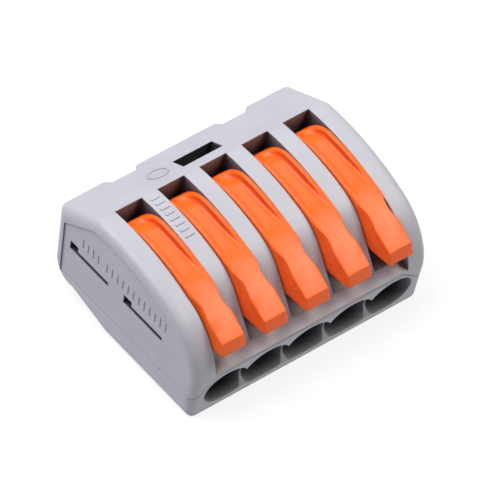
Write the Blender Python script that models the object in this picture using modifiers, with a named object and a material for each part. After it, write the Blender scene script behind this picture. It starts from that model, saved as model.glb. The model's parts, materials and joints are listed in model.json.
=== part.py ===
"""Five-pole lever wire connector.

A grey housing in two halves holds five orange levers, five cage clamps and one busbar.
Each lever turns on two trunnions and pushes the top leg of its clamp down with a cam.
Frame: origin at the bottom centre, +X along the row of poles, wires enter from -Y, +Z up.
"""
import math

import bmesh
import bpy
from mathutils import Matrix, Vector

MM = 0.001
OBJECT_NAME = "lever_wire_connector"

# Poles
POLES = 5
PITCH = 5.0 * MM
SLOT_WIDTH = 3.15 * MM
MIDDLE = (POLES - 1) / 2
POLE_X = [(index - MIDDLE) * PITCH for index in range(POLES)]
RIB_X = [(index - MIDDLE - 0.5) * PITCH for index in range(1, POLES)]
SLOT_SIDE = POLE_X[-1] + SLOT_WIDTH / 2

# Housing envelope
HALF_WIDTH = 14.0 * MM
FRONT_Y = -10.8 * MM
REAR_Y = 10.75 * MM
TOP_Z = 13.3 * MM
END_ROUNDING = 1.0 * MM
FIT_GAP = 0.06 * MM
OVERCUT = 1.0 * MM

# Housing outline, seen from the end
CROWN_Y = 3.0 * MM
CROWN_RADIUS = 24.0 * MM
RIDGE_Y = 5.35 * MM
REAR_SLOPE = math.radians(27.0)
SHOULDER_RADIUS = 7.0 * MM
FRONT_FOOT_Y = -10.35 * MM
FOOT_CHAMFER = 0.3 * MM
FLAT_END_Y = 2.5 * MM
HEEL_RADIUS = 2.6 * MM
HEEL_SLOPE = math.radians(11.5)

# Ribs between the levers and the lip in front of them
NOSE_RADIUS = 5.5 * MM
NOSE_START = math.radians(16.5)
NOSE_END = math.radians(57.0)
LIP_Z = 5.7 * MM
LIP_DROP = 0.6 * MM

# Parting line and chambers
SEAM_Z = 2.5 * MM
MOUTH_BLOCK_Z = 5.0 * MM
MOUTH_BLOCK_REAR_Y = -5.5 * MM
SEAM_KINK_X = 11.0 * MM
FLOOR_Z = 0.8 * MM
FLOOR_END_Y = 4.6 * MM
SLOT_REAR_Y = 5.45 * MM
SLOT_FRONT_Y = -9.5 * MM
CHAMBER_REAR_Y = 9.3 * MM
CHAMBER_ROOF_Z = 8.3 * MM

# Wire entries
MOUTH_Z = 2.6 * MM
MOUTH_HALF_WIDTH = 2.52 * MM
MOUTH_HALF_HEIGHT = 2.02 * MM
BORE_Z = 2.8 * MM
BORE_RADIUS = 1.55 * MM
FUNNEL_DEPTH = 3.2 * MM
FUNNEL_SIDES = 24

# Test slot, rear notches and end panels
TEST_SLOT_WIDTH = 4.7 * MM
TEST_SLOT_FRONT_Y = 6.75 * MM
TEST_SLOT_REAR_Y = 8.35 * MM
NOTCH_X = 6.6 * MM
NOTCH_WIDTH = 2.9 * MM
NOTCH_DEPTH = 0.7 * MM
PANEL_DEPTH = 0.15 * MM
PANEL_INSET = 1.15 * MM
PANEL_BOTTOM_Z = 2.9 * MM
LATCH_HOLE = (1.2 * MM, 1.05 * MM)
LATCH_HOLE_YZ = ((8.6 * MM, 7.5 * MM), (0.45 * MM, 7.5 * MM))
LATCH_DEPTH = 1.1 * MM
GROOVE_LENGTH = 4.6 * MM
GROOVE_HEIGHT = 0.3 * MM
GROOVE_DEPTH = 0.5 * MM

# Levers
PIVOT_Y = 1.5 * MM
PIVOT_Z = 9.4 * MM
LEVER_WIDTH = 2.9 * MM
DISC_RADIUS = 3.8 * MM
TRUNNION_RADIUS = 0.8 * MM
TRUNNION_REACH = 0.6 * MM
TRUNNION_SIDES = 24
LEVER_OPEN = math.radians(90.0)
LEVER_CREST_RADIUS = 22.0 * MM
LEVER_WAIST_Y = -6.9 * MM
GRIP_TOP = (-10.9 * MM, 9.5 * MM)
GRIP_TIP = (-11.3 * MM, 8.35 * MM)
GRIP_HEEL = (-8.4 * MM, 8.3 * MM)
LEVER_BELLY = (-0.8 * MM, 8.0 * MM)
TROUGH_WIDTH = 1.9 * MM
TROUGH_DEPTH = 0.75 * MM
TROUGH_FRONT_Y = -5.8 * MM
TROUGH_REAR_Y = 4.0 * MM
WAIST_NIP = 0.3 * MM
WAIST_LENGTH = 1.7 * MM
GRIP_CHAMFER = 0.35 * MM

# Cage clamps
STRIP = 0.4 * MM
STRIP_WIDTH = 2.8 * MM
HINGE_Y = 7.8 * MM
HINGE_Z = 7.0 * MM
CLAMP_FRONT_Y = -0.6 * MM
CLAMP_BAR_TOP_Z = 3.65 * MM
CLAMP_BAR_HEIGHT = 0.5 * MM
WINDOW_WIDTH = 1.9 * MM
CAM_GAP = 0.06 * MM
ARM_Y = HINGE_Y - PIVOT_Y
ARM_Z = PIVOT_Z - HINGE_Z
# The clamp opens until its top leg lies just under the lever's disc.
CLAMP_OPEN = (math.asin((DISC_RADIUS + CAM_GAP + STRIP / 2) / math.hypot(ARM_Y, ARM_Z))
              - math.atan2(ARM_Z, ARM_Y))
SPLIT_GAP = 0.08 * MM
FOOT_FRONT_Y = 2.2 * MM
ARC_STEPS = 8

# Busbar
BAR_BOTTOM_Z = 3.75 * MM
BAR_TOP_Z = 4.3 * MM
BAR_FRONT_Y = 5.6 * MM
BAR_REAR_Y = 7.2 * MM
BAR_HALF_LENGTH = 11.4 * MM
TONGUE_WIDTH = 1.6 * MM
TONGUE_FRONT_Y = -1.6 * MM


def clear_scene():
    """Remove every object, so that the script always starts from nothing."""
    for item in list(bpy.data.objects):
        bpy.data.objects.remove(item, do_unlink=True)


def make_collection(name):
    collection = bpy.data.collections.new(name)
    bpy.context.scene.collection.children.link(collection)
    return collection


def make_material(name, colour, roughness, metallic=0.0):
    material = bpy.data.materials.new(name)
    material.use_nodes = True
    shader = material.node_tree.nodes["Principled BSDF"]
    shader.inputs["Base Color"].default_value = (*colour, 1.0)
    shader.inputs["Roughness"].default_value = roughness
    shader.inputs["Metallic"].default_value = metallic
    return material


def add_mesh(name, mesh, collection):
    item = bpy.data.objects.new(name, mesh)
    collection.objects.link(item)
    return item


def as_cutter(item):
    item.hide_render = True
    item.display_type = "WIRE"
    return item


def mesh_from_bmesh(name, shape):
    mesh = bpy.data.meshes.new(name)
    shape.normal_update()
    bmesh.ops.recalc_face_normals(shape, faces=shape.faces)
    shape.to_mesh(mesh)
    shape.free()
    return mesh


def box_mesh(name, low, high):
    """A box between two corners."""
    low = Vector(low)
    high = Vector(high)
    shape = bmesh.new()
    place = Matrix.Translation((low + high) / 2) @ Matrix.Diagonal((*(high - low), 1.0))
    bmesh.ops.create_cube(shape, size=1.0, matrix=place)
    return mesh_from_bmesh(name, shape)


def cylinder_mesh(name, radius, x_low, x_high, y, z, sides):
    """A cylinder along X."""
    shape = bmesh.new()
    place = Matrix.Translation(((x_low + x_high) / 2, y, z)) @ Matrix.Rotation(math.pi / 2, 4, "Y")
    bmesh.ops.create_cone(shape, cap_ends=True, segments=sides, radius1=radius,
                          radius2=radius, depth=x_high - x_low, matrix=place)
    return mesh_from_bmesh(name, shape)


def plate_mesh(name, outline, x_low, x_high, rounding=0.0):
    """A flat (y, z) outline extruded along X, with its two rims rounded."""
    curve = bpy.data.curves.new(name, "CURVE")
    curve.dimensions = "2D"
    curve.fill_mode = "BOTH"
    curve.extrude = (x_high - x_low) / 2 - rounding
    curve.bevel_depth = rounding
    curve.bevel_resolution = 1
    curve.offset = -rounding
    spline = curve.splines.new("POLY")
    spline.points.add(len(outline) - 1)
    for point, (y, z) in zip(spline.points, outline):
        point.co = (y, z, 0.0, 1.0)
    spline.use_cyclic_u = True
    guide = bpy.data.objects.new(name + "_outline", curve)
    bpy.context.scene.collection.objects.link(guide)
    bpy.context.view_layer.update()
    evaluated = guide.evaluated_get(bpy.context.evaluated_depsgraph_get())
    flat = bpy.data.meshes.new_from_object(evaluated)
    bpy.data.objects.remove(guide, do_unlink=True)
    bpy.data.curves.remove(curve)
    shape = bmesh.new()
    shape.from_mesh(flat)
    bpy.data.meshes.remove(flat)
    bmesh.ops.remove_doubles(shape, verts=shape.verts, dist=0.001 * MM)
    stand_up = Matrix(((0, 0, 1, (x_low + x_high) / 2), (1, 0, 0, 0), (0, 1, 0, 0), (0, 0, 0, 1)))
    bmesh.ops.transform(shape, matrix=stand_up, verts=shape.verts)
    return mesh_from_bmesh(name, shape)


def arc(y, z, radius, start, end, steps=ARC_STEPS):
    """Points on an arc; the angle is the slope of the surface, 0 facing up, 90 degrees facing the front."""
    angles = [start + (end - start) * step / steps for step in range(steps + 1)]
    return [(y - radius * math.sin(angle), z + radius * math.cos(angle)) for angle in angles]


def boolean(target, tool, operation="DIFFERENCE"):
    modifier = target.modifiers.new(operation.lower() + "_" + tool.name, "BOOLEAN")
    modifier.operation = operation
    modifier.solver = "EXACT"
    modifier.object = tool


def repeat_along_x(item, count, step):
    array = item.modifiers.new("row", "ARRAY")
    array.count = count
    array.use_relative_offset = False
    array.use_constant_offset = True
    array.constant_offset_displace = (step, 0.0, 0.0)
    array.use_merge_vertices = False


def crown_point(y):
    """Height of the housing's long top arc."""
    return TOP_Z - CROWN_RADIUS + math.sqrt(CROWN_RADIUS ** 2 - (y - CROWN_Y) ** 2)


def nested_centre(angle, radius):
    """Centre of a smaller arc that leaves the top arc smoothly at a given slope."""
    reach = CROWN_RADIUS - radius
    return CROWN_Y - reach * math.sin(angle), TOP_Z - CROWN_RADIUS + reach * math.cos(angle)


def housing_outline(inset=0.0, bottom=0.0):
    """The closed (y, z) outline of the housing, or one set in from it, above a given height."""
    shoulder_start = math.asin((CROWN_Y - FRONT_Y - SHOULDER_RADIUS) / (CROWN_RADIUS - SHOULDER_RADIUS))
    shoulder_y, shoulder_z = nested_centre(shoulder_start, SHOULDER_RADIUS)
    ridge_slope = -math.asin((RIDGE_Y - CROWN_Y) / CROWN_RADIUS)
    points = arc(CROWN_Y, TOP_Z - CROWN_RADIUS, CROWN_RADIUS - inset, ridge_slope, shoulder_start)
    points += arc(shoulder_y, shoulder_z, SHOULDER_RADIUS - inset, shoulder_start, math.pi / 2)[1:]
    if bottom:
        points += [(FRONT_Y + inset, bottom), (REAR_Y - inset, bottom)]
    else:
        points += [(FRONT_FOOT_Y, FOOT_CHAMFER), (FRONT_FOOT_Y + FOOT_CHAMFER, 0.0), (FLAT_END_Y, 0.0)]
        heel_y = REAR_Y - HEEL_RADIUS
        heel_z = (heel_y - FLAT_END_Y) * math.tan(HEEL_SLOPE) + HEEL_RADIUS / math.cos(HEEL_SLOPE)
        points += arc(heel_y, heel_z, HEEL_RADIUS, math.pi - HEEL_SLOPE, math.pi * 1.5, ARC_STEPS // 2)
    rear_y = REAR_Y - inset
    rear_z = crown_point(RIDGE_Y) - (REAR_Y - RIDGE_Y) * math.tan(REAR_SLOPE) - inset
    return points + [(rear_y, rear_z)]


def base_zone(name, collection, clearance):
    """The space that belongs to the lower housing: skirt, mouth block and busbar posts."""
    wide = HALF_WIDTH + OVERCUT
    front = FRONT_Y - OVERCUT
    zone = add_mesh(name, box_mesh(name, (-wide, front, -OVERCUT),
                                   (wide, REAR_Y + OVERCUT, SEAM_Z + clearance)), collection)
    slant = (MOUTH_BLOCK_Z - SEAM_Z) / (HALF_WIDTH - SEAM_KINK_X)
    top = MOUTH_BLOCK_Z + clearance
    low = SEAM_Z - OVERCUT
    reach = SEAM_KINK_X + (top - low) / slant
    front_outline = [(-SEAM_KINK_X, top), (-reach, low), (reach, low), (SEAM_KINK_X, top)]
    mesh = plate_mesh(name + "_mouths", front_outline, front, MOUTH_BLOCK_REAR_Y + clearance)
    mesh.transform(Matrix(((0, 1, 0, 0), (1, 0, 0, 0), (0, 0, 1, 0), (0, 0, 0, 1))))
    mesh.flip_normals()
    boolean(zone, as_cutter(add_mesh(name + "_mouths", mesh, collection)), "UNION")
    rib_half = (PITCH - SLOT_WIDTH) / 2 + clearance
    low = (RIB_X[0] - rib_half, BAR_FRONT_Y - clearance, SEAM_Z - OVERCUT)
    high = (RIB_X[0] + rib_half, BAR_REAR_Y + clearance, BAR_BOTTOM_Z - FIT_GAP + clearance)
    posts = add_mesh(name + "_posts", box_mesh(name + "_posts", low, high), collection)
    repeat_along_x(posts, POLES - 1, PITCH)
    boolean(zone, as_cutter(posts), "UNION")
    return as_cutter(zone)


def row_cutter(name, mesh, collection):
    """A cutter drawn on the first pole and repeated on every pole."""
    item = as_cutter(add_mesh(name, mesh, collection))
    repeat_along_x(item, POLES, PITCH)
    return item


def chamber_cutter(collection):
    """One lever slot with the clamp chamber below it."""
    low = SEAM_Z - OVERCUT
    high = TOP_Z + OVERCUT
    outline = [(MOUTH_BLOCK_REAR_Y, low), (CHAMBER_REAR_Y, low), (CHAMBER_REAR_Y, CHAMBER_ROOF_Z),
               (SLOT_REAR_Y, CHAMBER_ROOF_Z), (SLOT_REAR_Y, high), (SLOT_FRONT_Y, high),
               (SLOT_FRONT_Y, MOUTH_BLOCK_Z - FIT_GAP), (MOUTH_BLOCK_REAR_Y, MOUTH_BLOCK_Z - FIT_GAP)]
    half = SLOT_WIDTH / 2
    mesh = plate_mesh("chamber", outline, POLE_X[0] - half, POLE_X[0] + half)
    return row_cutter("chamber", mesh, collection)


def nose_outline():
    """Everything above the ribs' front slope and above the lip."""
    centre_y, centre_z = nested_centre(NOSE_START, NOSE_RADIUS)
    slope = arc(centre_y, centre_z, NOSE_RADIUS, NOSE_START, NOSE_END)
    last_y, last_z = slope[-1]
    lip_y = last_y - (last_z - LIP_Z) / math.tan(NOSE_END)
    start_y, start_z = slope[0]
    above = TOP_Z + OVERCUT
    front = FRONT_Y - OVERCUT
    return [(start_y, above), (start_y, start_z)] + slope[1:] + [
        (lip_y, LIP_Z), (FRONT_Y, LIP_Z - LIP_DROP), (front, LIP_Z - LIP_DROP), (front, above)]


def socket_outline():
    """A trunnion socket: a half-round seat, open downward for assembly."""
    radius = TRUNNION_RADIUS + FIT_GAP
    seat = arc(PIVOT_Y, PIVOT_Z, radius, -math.pi / 2, math.pi / 2)
    return seat + [(PIVOT_Y - radius, SEAM_Z - OVERCUT), (PIVOT_Y + radius, SEAM_Z - OVERCUT)]


def cam_point(angle):
    """A point of the cam, from the straight line that the clamp's top leg makes.

    The lever has turned by angle / (1 + ratio) when this line touches the leg.
    """
    ratio = CLAMP_OPEN / LEVER_OPEN
    turn = angle * ratio / (1 + ratio)
    distance = ARM_Y * math.sin(turn) + ARM_Z * math.cos(turn) - STRIP / 2 - CAM_GAP
    growth = (ARM_Y * math.cos(turn) - ARM_Z * math.sin(turn)) * ratio / (1 + ratio)
    y = PIVOT_Y + distance * math.sin(angle) + growth * math.cos(angle)
    z = PIVOT_Z - distance * math.cos(angle) + growth * math.sin(angle)
    return y, z


def lever_outline():
    """The closed (y, z) outline of a closed lever."""
    full_turn = LEVER_OPEN + CLAMP_OPEN
    cam = [cam_point(full_turn * step / ARC_STEPS) for step in range(ARC_STEPS + 1)]
    last_y, last_z = cam[-1]
    start = math.atan2(last_y - PIVOT_Y, last_z - PIVOT_Z)
    disc = arc(PIVOT_Y, PIVOT_Z, DISC_RADIUS, -start, 0.0)[1:]
    waist = math.asin((PIVOT_Y - LEVER_WAIST_Y) / LEVER_CREST_RADIUS)
    crest = arc(PIVOT_Y, PIVOT_Z + DISC_RADIUS - LEVER_CREST_RADIUS, LEVER_CREST_RADIUS, 0.0, waist)[1:]
    return cam + disc + crest + [GRIP_TOP, GRIP_TIP, GRIP_HEEL, LEVER_BELLY]


def lever_crest_point(y):
    """Height of the lever's long top arc."""
    centre_z = PIVOT_Z + DISC_RADIUS - LEVER_CREST_RADIUS
    return centre_z + math.sqrt(LEVER_CREST_RADIUS ** 2 - (PIVOT_Y - y) ** 2)


def trough_outline():
    """The hollow in the lever's top: deepest at the pivot, running out before the waist."""
    above = TOP_Z + OVERCUT
    deepest = (PIVOT_Y, lever_crest_point(PIVOT_Y) - TROUGH_DEPTH)
    middle_y = (PIVOT_Y + TROUGH_FRONT_Y) / 2
    middle = (middle_y, lever_crest_point(middle_y) - TROUGH_DEPTH * 0.8)
    run_out = (TROUGH_FRONT_Y, lever_crest_point(TROUGH_FRONT_Y))
    rear = (TROUGH_REAR_Y, PIVOT_Z + math.sqrt(DISC_RADIUS ** 2 - (TROUGH_REAR_Y - PIVOT_Y) ** 2) - FIT_GAP)
    return [rear, deepest, middle, run_out, (TROUGH_FRONT_Y, above), (TROUGH_REAR_Y, above)]


def waist_mesh(name, side):
    """A wedge that nips one side of the lever behind its grip."""
    shape = bmesh.new()
    place = Matrix.Translation((side * LEVER_WIDTH / 2, LEVER_WAIST_Y, GRIP_TOP[1])) @ Matrix.Diagonal(
        (WAIST_NIP * 2, WAIST_LENGTH, TOP_Z, 1.0)) @ Matrix.Rotation(math.pi / 4, 4, "Z")
    bmesh.ops.create_cube(shape, size=math.sqrt(0.5), matrix=place)
    return mesh_from_bmesh(name, shape)


def grip_side_mesh(name, side):
    """A leaning slab that chamfers one side of the grip evenly along its sloping top."""
    tip_y, tip_z = GRIP_TIP
    top_y, top_z = GRIP_TOP
    rear_y = LEVER_WAIST_Y - WAIST_LENGTH / 2
    crest_z = lever_crest_point(LEVER_WAIST_Y)
    fall = (crest_z - top_z) / (LEVER_WAIST_Y - top_y)
    height = top_z - tip_z - fall * (top_y - tip_y)
    lean = GRIP_CHAMFER / height
    shape = bmesh.new()
    bmesh.ops.create_cube(shape, size=1.0)
    for vertex in shape.verts:
        across, along, up = (2 * value for value in vertex.co)
        y = rear_y if along > 0 else tip_y - OVERCUT
        rise = 0.0 if up < 0 else 2 * height
        z = tip_z + fall * (y - tip_y) + rise
        x = LEVER_WIDTH / 2 - rise * lean if across < 0 else PITCH / 2
        vertex.co = (side * x, y, z)
    return mesh_from_bmesh(name, shape)


def make_housing(parts, cutters, material):
    """Both halves start from the same closed outer shape and share one parting surface."""
    body = plate_mesh("housing_body", housing_outline(), -HALF_WIDTH, HALF_WIDTH, END_ROUNDING)
    upper = add_mesh("upper_housing", body, parts)
    lower = add_mesh("lower_housing", body.copy(), parts)
    for item in (upper, lower):
        item.data.materials.append(material)

    boolean(upper, base_zone("upper_limit", cutters, FIT_GAP))
    boolean(upper, chamber_cutter(cutters))
    scoop = plate_mesh("scoop", nose_outline(), -SLOT_SIDE, SLOT_SIDE)
    boolean(upper, as_cutter(add_mesh("scoop", scoop, cutters)))
    reach = LEVER_WIDTH / 2 + TRUNNION_REACH + FIT_GAP
    sockets = plate_mesh("socket", socket_outline(), POLE_X[0] - reach, POLE_X[0] + reach)
    boolean(upper, row_cutter("socket", sockets, cutters))
    half_test = TEST_SLOT_WIDTH / 2
    cuts = {
        "test_slot": ((-half_test, TEST_SLOT_FRONT_Y, CHAMBER_ROOF_Z - OVERCUT),
                      (half_test, TEST_SLOT_REAR_Y, TOP_Z)),
        "busbar_notch": ((-BAR_HALF_LENGTH - FIT_GAP, BAR_FRONT_Y - FIT_GAP, SEAM_Z - OVERCUT),
                         (BAR_HALF_LENGTH + FIT_GAP, BAR_REAR_Y + FIT_GAP, BAR_TOP_Z + FIT_GAP)),
    }
    for name, (low, high) in cuts.items():
        boolean(upper, as_cutter(add_mesh(name, box_mesh(name, low, high), cutters)))
    for side in (-1, 1):
        cut_rear_notch(upper, cutters, side)
        cut_end_panel(upper, cutters, side)

    boolean(lower, base_zone("lower_limit", cutters, 0.0), "INTERSECT")
    half = SLOT_WIDTH / 2
    floor = box_mesh("floor_room", (POLE_X[0] - half, MOUTH_BLOCK_REAR_Y, FLOOR_Z),
                     (POLE_X[0] + half, FLOOR_END_Y, TOP_Z))
    boolean(lower, row_cutter("floor_room", floor, cutters))
    boolean(lower, funnel_cutter(cutters))
    bore_reach = MOUTH_BLOCK_REAR_Y + OVERCUT
    boolean(lower, row_cutter("bore", bore_mesh(bore_reach), cutters))


def cut_rear_notch(upper, cutters, side):
    """A shallow grip notch with leaning sides in the rear edge."""
    name = "rear_notch_left" if side < 0 else "rear_notch_right"
    lean = NOTCH_DEPTH * 0.7
    half = NOTCH_WIDTH / 2
    centre = side * NOTCH_X
    low = REAR_Y - NOTCH_DEPTH
    high = REAR_Y + OVERCUT
    wide = half + lean * (1 + OVERCUT / NOTCH_DEPTH)
    # The outline lies in the XY plane here, so the plate is turned upright afterwards.
    outline = [(centre - half, low), (centre + half, low), (centre + wide, high), (centre - wide, high)]
    mesh = plate_mesh(name, outline, SEAM_Z + OVERCUT, TOP_Z)
    mesh.transform(Matrix(((0, 1, 0, 0), (0, 0, 1, 0), (1, 0, 0, 0), (0, 0, 0, 1))))
    boolean(upper, as_cutter(add_mesh(name, mesh, cutters)))


def cut_end_panel(upper, cutters, side):
    """The sunk panel of an end face, with two latch holes and a groove in front of each."""
    name = "end_left" if side < 0 else "end_right"
    outer = side * (HALF_WIDTH + OVERCUT)

    def x_range(depth):
        inner = side * (HALF_WIDTH - depth)
        return min(inner, outer), max(inner, outer)

    x_low, x_high = x_range(PANEL_DEPTH)
    panel = plate_mesh(name + "_panel", housing_outline(PANEL_INSET, PANEL_BOTTOM_Z), x_low, x_high)
    boolean(upper, as_cutter(add_mesh(name + "_panel", panel, cutters)))
    hole_length, hole_height = LATCH_HOLE
    for index, (rear, top) in enumerate(LATCH_HOLE_YZ):
        shapes = {
            "hole": (x_range(LATCH_DEPTH), (rear - hole_length, rear), (top - hole_height, top)),
            "groove": (x_range(GROOVE_DEPTH), (rear - hole_length - GROOVE_LENGTH, rear - hole_length / 2),
                       (top - hole_height, top - hole_height + GROOVE_HEIGHT)),
        }
        for kind, (x_pair, y_pair, z_pair) in shapes.items():
            label = f"{name}_{kind}_{index + 1}"
            low = (x_pair[0], y_pair[0], z_pair[0])
            high = (x_pair[1], y_pair[1], z_pair[1])
            boolean(upper, as_cutter(add_mesh(label, box_mesh(label, low, high), cutters)))


def funnel_cutter(cutters):
    """The oval mouth that narrows to the round wire bore."""
    shape = bmesh.new()
    length = FUNNEL_DEPTH + OVERCUT
    bmesh.ops.create_cone(shape, cap_ends=True, segments=FUNNEL_SIDES, radius1=1.0, radius2=1.0, depth=length,
                          matrix=Matrix.Rotation(-math.pi / 2, 4, "X"))
    growth = length / FUNNEL_DEPTH
    for vertex in shape.verts:
        share = growth if vertex.co.y < 0 else 0.0
        vertex.co.x *= BORE_RADIUS + (MOUTH_HALF_WIDTH - BORE_RADIUS) * share
        vertex.co.z *= BORE_RADIUS + (MOUTH_HALF_HEIGHT - BORE_RADIUS) * share
        vertex.co.x += POLE_X[0]
        vertex.co.y += FRONT_Y + FUNNEL_DEPTH - length / 2
        vertex.co.z += BORE_Z + (MOUTH_Z - BORE_Z) * share
    return row_cutter("funnel", mesh_from_bmesh("funnel", shape), cutters)


def bore_mesh(rear_y):
    shape = bmesh.new()
    front_y = FRONT_Y + FUNNEL_DEPTH / 2
    place = Matrix.Translation((POLE_X[0], (front_y + rear_y) / 2, BORE_Z)) @ Matrix.Rotation(
        -math.pi / 2, 4, "X")
    bmesh.ops.create_cone(shape, cap_ends=True, segments=FUNNEL_SIDES, radius1=BORE_RADIUS,
                          radius2=BORE_RADIUS, depth=rear_y - front_y, matrix=place)
    return mesh_from_bmesh("bore", shape)


def make_levers(parts, cutters, material):
    """Five levers on trunnions, each with its origin on its own pivot."""
    half = LEVER_WIDTH / 2
    reach = half + TRUNNION_REACH
    pieces = [
        (cylinder_mesh("trunnions", TRUNNION_RADIUS, -reach, reach, PIVOT_Y, PIVOT_Z, TRUNNION_SIDES), "UNION"),
        (plate_mesh("trough", trough_outline(), -TROUGH_WIDTH / 2, TROUGH_WIDTH / 2), "DIFFERENCE"),
        (waist_mesh("waist_left", -1), "DIFFERENCE"),
        (waist_mesh("waist_right", 1), "DIFFERENCE"),
        (grip_side_mesh("grip_left", -1), "DIFFERENCE"),
        (grip_side_mesh("grip_right", 1), "DIFFERENCE"),
    ]
    to_pivot = Matrix.Translation((0.0, -PIVOT_Y, -PIVOT_Z))
    mesh = plate_mesh("lever", lever_outline(), -half, half)
    mesh.transform(to_pivot)
    mesh.materials.append(material)
    for index, x in enumerate(POLE_X):
        lever = add_mesh(f"lever_{index + 1}", mesh, parts)
        lever.location = (x, PIVOT_Y, PIVOT_Z)
        for piece, operation in pieces:
            if index == 0:
                piece.transform(to_pivot)
            tool = as_cutter(add_mesh(f"{piece.name}_{index + 1}", piece, cutters))
            tool.location = lever.location
            boolean(lever, tool, operation)


def spring_outline():
    """The fixed half of a clamp: foot on the busbar and the round bend behind it."""
    bottom = BAR_TOP_Z + FIT_GAP
    centre_z = (bottom + HINGE_Z + STRIP / 2) / 2
    outer = HINGE_Z + STRIP / 2 - centre_z
    bend_y = HINGE_Y + SPLIT_GAP
    outside = arc(bend_y, centre_z, outer, -math.pi, 0.0)
    inside = arc(bend_y, centre_z, outer - STRIP, 0.0, -math.pi)
    return [(FOOT_FRONT_Y, bottom)] + outside + inside + [(FOOT_FRONT_Y, bottom + STRIP)]


def jaw_outline():
    """The moving half of a clamp: top leg under the cam and window leg at its front."""
    top = HINGE_Z + STRIP / 2
    bottom = CLAMP_BAR_TOP_Z - CLAMP_BAR_HEIGHT
    front = CLAMP_FRONT_Y - STRIP / 2
    return [(HINGE_Y, top), (front, top), (front, bottom), (front + STRIP, bottom),
            (front + STRIP, top - STRIP), (HINGE_Y, top - STRIP)]


def make_clamps(parts, cutters, material):
    half = STRIP_WIDTH / 2
    spring = plate_mesh("clamp_spring", spring_outline(), -half, half)
    jaw = plate_mesh("clamp_jaw", jaw_outline(), -half, half)
    window = box_mesh("window", (-WINDOW_WIDTH / 2, CLAMP_FRONT_Y - STRIP, CLAMP_BAR_TOP_Z),
                      (WINDOW_WIDTH / 2, CLAMP_FRONT_Y + STRIP, HINGE_Z - STRIP / 2))
    to_hinge = Matrix.Translation((0.0, -HINGE_Y, -HINGE_Z))
    for mesh in (spring, jaw, window):
        mesh.transform(to_hinge)
    for mesh in (spring, jaw):
        mesh.materials.append(material)
    for index, x in enumerate(POLE_X):
        add_mesh(f"clamp_spring_{index + 1}", spring, parts).location = (x, HINGE_Y, HINGE_Z)
        moving = add_mesh(f"clamp_jaw_{index + 1}", jaw, parts)
        moving.location = (x, HINGE_Y, HINGE_Z)
        tool = as_cutter(add_mesh(f"window_{index + 1}", window, cutters))
        tool.location = moving.location
        boolean(moving, tool)


def make_busbar(parts, cutters, material):
    """One cross strip with a tongue that reaches through each clamp's window."""
    cross = box_mesh("busbar", (-BAR_HALF_LENGTH, BAR_FRONT_Y, BAR_BOTTOM_Z),
                     (BAR_HALF_LENGTH, BAR_REAR_Y, BAR_TOP_Z))
    busbar = add_mesh("busbar", cross, parts)
    busbar.data.materials.append(material)
    half = TONGUE_WIDTH / 2
    overlap = (BAR_REAR_Y - BAR_FRONT_Y) / 2
    tongue = box_mesh("tongue", (POLE_X[0] - half, TONGUE_FRONT_Y, BAR_BOTTOM_Z),
                      (POLE_X[0] + half, BAR_FRONT_Y + overlap, BAR_TOP_Z))
    boolean(busbar, row_cutter("tongue", tongue, cutters), "UNION")


def build():
    clear_scene()
    parts = make_collection(OBJECT_NAME)
    cutters = make_collection(OBJECT_NAME + "_cutters")
    grey = make_material("grey_plastic", (0.42, 0.44, 0.50), 0.45)
    orange = make_material("orange_plastic", (0.88, 0.17, 0.02), 0.40)
    steel = make_material("spring_steel", (0.62, 0.61, 0.58), 0.30, 1.0)
    tinned = make_material("tinned_copper", (0.72, 0.70, 0.66), 0.35, 1.0)
    make_housing(parts, cutters, grey)
    make_levers(parts, cutters, orange)
    make_clamps(parts, cutters, steel)
    make_busbar(parts, cutters, tinned)


build()
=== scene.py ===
"""The looks of the lever wire connector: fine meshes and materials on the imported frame."""
import json
import math

import bmesh
import bpy
from mathutils import Matrix, Vector


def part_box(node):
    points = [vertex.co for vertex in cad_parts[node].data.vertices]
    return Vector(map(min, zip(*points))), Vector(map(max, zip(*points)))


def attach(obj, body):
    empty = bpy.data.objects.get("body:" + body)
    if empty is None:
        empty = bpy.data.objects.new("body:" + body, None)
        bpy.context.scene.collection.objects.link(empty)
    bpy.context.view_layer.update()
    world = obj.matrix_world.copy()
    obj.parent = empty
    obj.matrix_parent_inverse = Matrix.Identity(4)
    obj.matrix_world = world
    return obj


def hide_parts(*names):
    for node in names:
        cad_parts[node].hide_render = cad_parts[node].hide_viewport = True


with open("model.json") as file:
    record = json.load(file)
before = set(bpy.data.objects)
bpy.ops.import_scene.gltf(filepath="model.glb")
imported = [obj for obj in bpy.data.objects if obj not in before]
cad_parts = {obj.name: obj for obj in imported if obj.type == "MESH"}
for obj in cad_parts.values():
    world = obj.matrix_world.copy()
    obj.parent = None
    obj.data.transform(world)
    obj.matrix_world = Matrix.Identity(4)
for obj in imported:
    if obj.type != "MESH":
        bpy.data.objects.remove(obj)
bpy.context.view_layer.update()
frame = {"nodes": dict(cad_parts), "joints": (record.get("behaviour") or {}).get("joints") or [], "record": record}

MM = 0.001
JOINTS = {joint["name"]: joint for joint in frame["joints"]}
COUPLINGS = frame["record"]["behaviour"]["couplings"]
POLES = 5
POLE_X = [JOINTS[f"lever_{index + 1}_pivot"]["pos_m"][0] for index in range(POLES)]
PITCH = POLE_X[1] - POLE_X[0]
PIVOT_Y, PIVOT_Z = JOINTS["lever_1_pivot"]["pos_m"][1:]

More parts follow.
